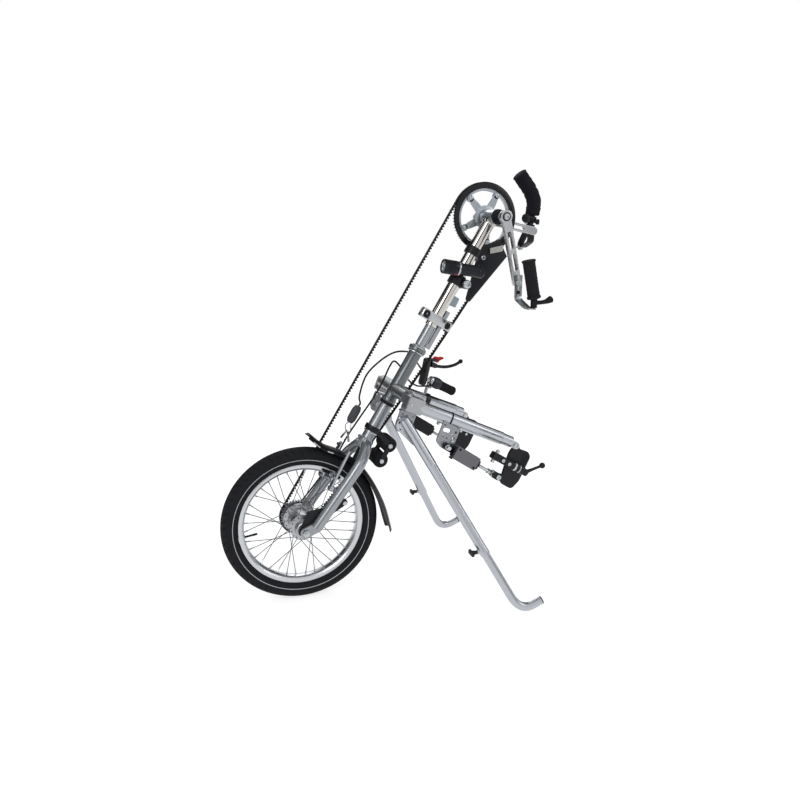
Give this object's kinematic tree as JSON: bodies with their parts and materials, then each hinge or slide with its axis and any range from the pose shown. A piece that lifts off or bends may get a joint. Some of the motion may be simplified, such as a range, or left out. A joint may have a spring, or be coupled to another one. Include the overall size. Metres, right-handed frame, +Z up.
{
  "type": "handcycle",
  "caption": "Front drive unit of a handcycle: leaning fork with a small spoked wheel, toothed belt, hand cranks, docking arms with clamps, folding stand, headlamp and controls.",
  "frame": {"origin": "middle of the footprint at ground level, under the middle of the overall box", "axes": "+X back towards the rider, -Y to the rider's left, +Z up"},
  "size_m": [0.9336, 0.5576, 1.0897],
  "materials": {
    "frame_grey": "grey anodised, satin",
    "fork_grey": "light grey anodised, satin",
    "bright_aluminium": "silver anodised, semi-gloss",
    "satin_aluminium": "satin",
    "chrome": "polished",
    "zinc": "zinc plated",
    "link_grey": "grey paint, satin",
    "black_paint": "black powder coat, satin",
    "black_plastic": "moulded, fine grain",
    "grey_plastic": "moulded, satin",
    "black_rubber": "matte",
    "tyre_rubber": "matte, moulded tread",
    "red_plastic": "moulded, gloss",
    "foam": "foam rubber, matte"
  },
  "bodies": {
    "frame": {"main_frame": "frame_grey", "arm_left": "bright_aluminium", "arm_right": "bright_aluminium", "stand_plate_left": "frame_grey", "stand_plate_right": "frame_grey", "lever_body": "black_plastic", "brake_cable": "black_rubber", "shift_cable": "black_rubber"},
    "fork": {"fork": "fork_grey", "mudguard": "black_plastic", "torque_arm": "black_paint", "idler_bracket": "satin_aluminium", "wheel_axle": "zinc", "cable_junction": "grey_plastic"},
    "wheel": {"tyre": "tyre_rubber", "rim": "bright_aluminium", "hub": "satin_aluminium"},
    "sprocket": {"hub_sprocket": "satin_aluminium"},
    "idler_upper": {"idler_upper": "black_rubber"},
    "idler_lower": {"idler_lower": "black_rubber"},
    "brake_left": {"brake_arm_left": "satin_aluminium"},
    "brake_right": {"brake_arm_right": "satin_aluminium"},
    "column": {"column": "chrome", "height_clamp": "satin_aluminium", "ring_clamp": "black_paint", "headlamp_mount": "black_plastic", "belt_guard": "black_plastic", "bottom_bracket": "black_paint", "belt": "black_rubber"},
    "clamp_bolt": {"clamp_bolt": "black_paint"},
    "headlamp": {"headlamp": "black_plastic"},
    "cranks": {"crank_right": "satin_aluminium", "crank_left": "bright_aluminium", "drive_pulley": "bright_aluminium", "pulley_guard": "black_plastic"},
    "handle_left": {"handle_bracket_left": "zinc", "grip_left": "black_rubber"},
    "handle_right": {"handle_bracket_right": "zinc", "grip_right": "foam"},
    "brake_lever": {"brake_lever": "black_paint"},
    "parking_lock": {"parking_lock": "red_plastic"},
    "shifter": {"shifter": "black_plastic"},
    "clamp_left": {"clamp_plate_left": "black_paint"},
    "clamp_right": {"clamp_plate_right": "black_paint"},
    "clamp_bar_left": {"clamp_bar_left": "black_paint"},
    "clamp_bar_right": {"clamp_bar_right": "black_paint"},
    "clamp_lever_left": {"clamp_lever_left": "black_plastic"},
    "clamp_lever_right": {"clamp_lever_right": "black_plastic"},
    "link_left": {"link_box_left": "link_grey"},
    "link_right": {"link_box_right": "black_paint"},
    "link_rod_left": {"link_rod_left": "zinc"},
    "link_rod_right": {"link_rod_right": "zinc"},
    "stand_leg_left": {"stand_leg_left": "bright_aluminium"},
    "stand_leg_right": {"stand_leg_right": "bright_aluminium"},
    "stand_foot_left": {"stand_foot_left": "bright_aluminium", "foot_cap_left": "black_rubber"},
    "stand_foot_right": {"stand_foot_right": "bright_aluminium", "foot_cap_right": "black_rubber"},
    "stand_knob_left": {"stand_knob_left": "black_plastic"},
    "stand_knob_right": {"stand_knob_right": "black_plastic"}
  },
  "joints": [
    {"name": "steering_turn", "type": "hinge", "parent": "frame", "child": "fork", "pos_m": [-0.22873, 0, 0.17695], "axis": [0.518, 0, 0.8554], "range_deg": [-18, 18], "deforming": ["brake_cable", "shift_cable"]},
    {"name": "wheel_spin", "type": "hinge", "parent": "fork", "child": "wheel", "pos_m": [-0.2668, 0, 0.2], "axis": [0, 1, 0], "continuous": true},
    {"name": "sprocket_spin", "type": "hinge", "parent": "fork", "child": "sprocket", "pos_m": [-0.2668, 0.048, 0.2], "axis": [0, 1, 0], "continuous": true, "deforming": ["belt"]},
    {"name": "idler_upper_spin", "type": "hinge", "parent": "fork", "child": "idler_upper", "pos_m": [-0.0316, 0.023, 0.38374], "axis": [0, 1, 0], "continuous": true},
    {"name": "idler_lower_spin", "type": "hinge", "parent": "fork", "child": "idler_lower", "pos_m": [-0.05534, 0.023, 0.3455], "axis": [0, 1, 0], "continuous": true},
    {"name": "brake_right_swing", "type": "hinge", "parent": "fork", "child": "brake_right", "pos_m": [-0.1922, 0.055, 0.30096], "axis": [0.8554, 0, -0.518], "range_deg": [0, 1.2]},
    {"name": "brake_left_swing", "type": "hinge", "parent": "fork", "child": "brake_left", "pos_m": [-0.1922, -0.055, 0.30096], "axis": [0.8554, 0, -0.518], "range_deg": [-1.2, 0]},
    {"name": "column_slide", "type": "slide", "parent": "fork", "child": "column", "axis": [0.518, 0, 0.8554], "range_m": [-0.012, 0], "deforming": ["belt"]},
    {"name": "clamp_bolt_turn", "type": "hinge", "parent": "column", "child": "clamp_bolt", "pos_m": [0.06463, 0, 0.72119], "axis": [0, 1, 0], "range_deg": [0, 180]},
    {"name": "headlamp_tilt", "type": "hinge", "parent": "column", "child": "headlamp", "pos_m": [0.1567, -0.031, 0.8133], "axis": [0, 1, 0], "range_deg": [-8, 8]},
    {"name": "crank_spin", "type": "hinge", "parent": "column", "child": "cranks", "pos_m": [0.24258, 0, 0.95517], "axis": [0, 1, 0], "continuous": true, "deforming": ["belt"]},
    {"name": "handle_left_spin", "type": "hinge", "parent": "cranks", "child": "handle_left", "pos_m": [0.2793, -0.083, 0.79739], "axis": [0, 1, 0], "continuous": true},
    {"name": "handle_right_spin", "type": "hinge", "parent": "cranks", "child": "handle_right", "pos_m": [0.40098, 0.083, 0.92121], "axis": [0, 1, 0], "continuous": true},
    {"name": "brake_lever_pull", "type": "hinge", "parent": "frame", "child": "brake_lever", "pos_m": [0.14554, 0.137, 0.55733], "axis": [0, 1, 0], "range_deg": [0, 20], "stiffness_Nm_per_rad": 0.6, "springref_deg": -5.73},
    {"name": "parking_lock_flip", "type": "hinge", "parent": "frame", "child": "parking_lock", "pos_m": [0.14977, 0.137, 0.57289], "axis": [0, 1, 0], "range_deg": [0, 15]},
    {"name": "shifter_twist", "type": "hinge", "parent": "frame", "child": "shifter", "pos_m": [0.13992, 0.137, 0.51207], "axis": [0.8851, 0, -0.4654], "range_deg": [-60, 60]},
    {"name": "clamp_tilt_left", "type": "hinge", "parent": "frame", "child": "clamp_left", "pos_m": [0.24821, -0.158, 0.40197], "axis": [0, 1, 0], "range_deg": [-8, 8]},
    {"name": "clamp_tilt_right", "type": "hinge", "parent": "frame", "child": "clamp_right", "pos_m": [0.24821, 0.158, 0.40197], "axis": [0, 1, 0], "range_deg": [-8, 8]},
    {"name": "link_swing_left", "type": "hinge", "parent": "frame", "child": "link_left", "pos_m": [0.06881, -0.158, 0.41263], "axis": [0, 1, 0], "range_deg": [-1, 1]},
    {"name": "link_swing_right", "type": "hinge", "parent": "frame", "child": "link_right", "pos_m": [0.06881, 0.158, 0.41263], "axis": [0, 1, 0], "range_deg": [-1, 1]},
    {"name": "link_rod_slide_left", "type": "slide", "parent": "link_left", "child": "link_rod_left", "axis": [0.8357, 0, -0.5493], "range_m": [-0.015, 0.015]},
    {"name": "link_rod_slide_right", "type": "slide", "parent": "link_right", "child": "link_rod_right", "axis": [0.8357, 0, -0.5493], "range_m": [-0.015, 0.015]},
    {"name": "clamp_bar_slide_left", "type": "slide", "parent": "clamp_left", "child": "clamp_bar_left", "axis": [0, -1, 0], "range_m": [-0.007, 0]},
    {"name": "clamp_bar_slide_right", "type": "slide", "parent": "clamp_right", "child": "clamp_bar_right", "axis": [0, 1, 0], "range_m": [-0.007, 0]},
    {"name": "clamp_lever_turn_left", "type": "hinge", "parent": "clamp_bar_left", "child": "clamp_lever_left", "pos_m": [0.26148, -0.182, 0.33939], "axis": [0.8542, 0, -0.52], "range_deg": [0, 170]},
    {"name": "clamp_lever_turn_right", "type": "hinge", "parent": "clamp_bar_right", "child": "clamp_lever_right", "pos_m": [0.26148, 0.182, 0.33939], "axis": [-0.8542, 0, 0.52], "range_deg": [0, 170]},
    {"name": "stand_fold_left", "type": "hinge", "parent": "frame", "child": "stand_leg_left", "pos_m": [-0.02882, -0.112, 0.46603], "axis": [0, 1, 0], "range_deg": [0, 70]},
    {"name": "stand_fold_right", "type": "hinge", "parent": "frame", "child": "stand_leg_right", "pos_m": [-0.02882, 0.112, 0.46603], "axis": [0, 1, 0], "range_deg": [0, 70]},
    {"name": "foot_slide_left", "type": "slide", "parent": "stand_leg_left", "child": "stand_foot_left", "axis": [0.4524, -0.2677, -0.8507], "range_m": [-0.07, 0]},
    {"name": "foot_slide_right", "type": "slide", "parent": "stand_leg_right", "child": "stand_foot_right", "axis": [0.4524, 0.2677, -0.8507], "range_m": [-0.07, 0]},
    {"name": "stand_knob_turn_left", "type": "hinge", "parent": "stand_leg_left", "child": "stand_knob_left", "pos_m": [0.12356, -0.21936, 0.15833], "axis": [1, 0, 0], "range_deg": [-180, 0]},
    {"name": "stand_knob_turn_right", "type": "hinge", "parent": "stand_leg_right", "child": "stand_knob_right", "pos_m": [0.12356, 0.21936, 0.15833], "axis": [1, 0, 0], "range_deg": [-180, 0]}
  ],
  "couplings": [
    {"joint": "sprocket_spin", "follows": "crank_spin", "ratio": 1.8889},
    {"joint": "brake_right_swing", "follows": "brake_lever_pull", "ratio": 0.06},
    {"joint": "brake_left_swing", "follows": "brake_lever_pull", "ratio": -0.06},
    {"joint": "link_swing_left", "follows": "clamp_tilt_left", "ratio": 0.0235},
    {"joint": "link_swing_right", "follows": "clamp_tilt_right", "ratio": 0.0235},
    {"joint": "link_rod_slide_left", "follows": "clamp_tilt_left", "m_per_rad": -0.0896},
    {"joint": "link_rod_slide_right", "follows": "clamp_tilt_right", "m_per_rad": -0.0896},
    {"joint": "clamp_bar_slide_left", "follows": "clamp_lever_turn_left", "m_per_rad": -0.002},
    {"joint": "clamp_bar_slide_right", "follows": "clamp_lever_turn_right", "m_per_rad": -0.002}
  ]
}
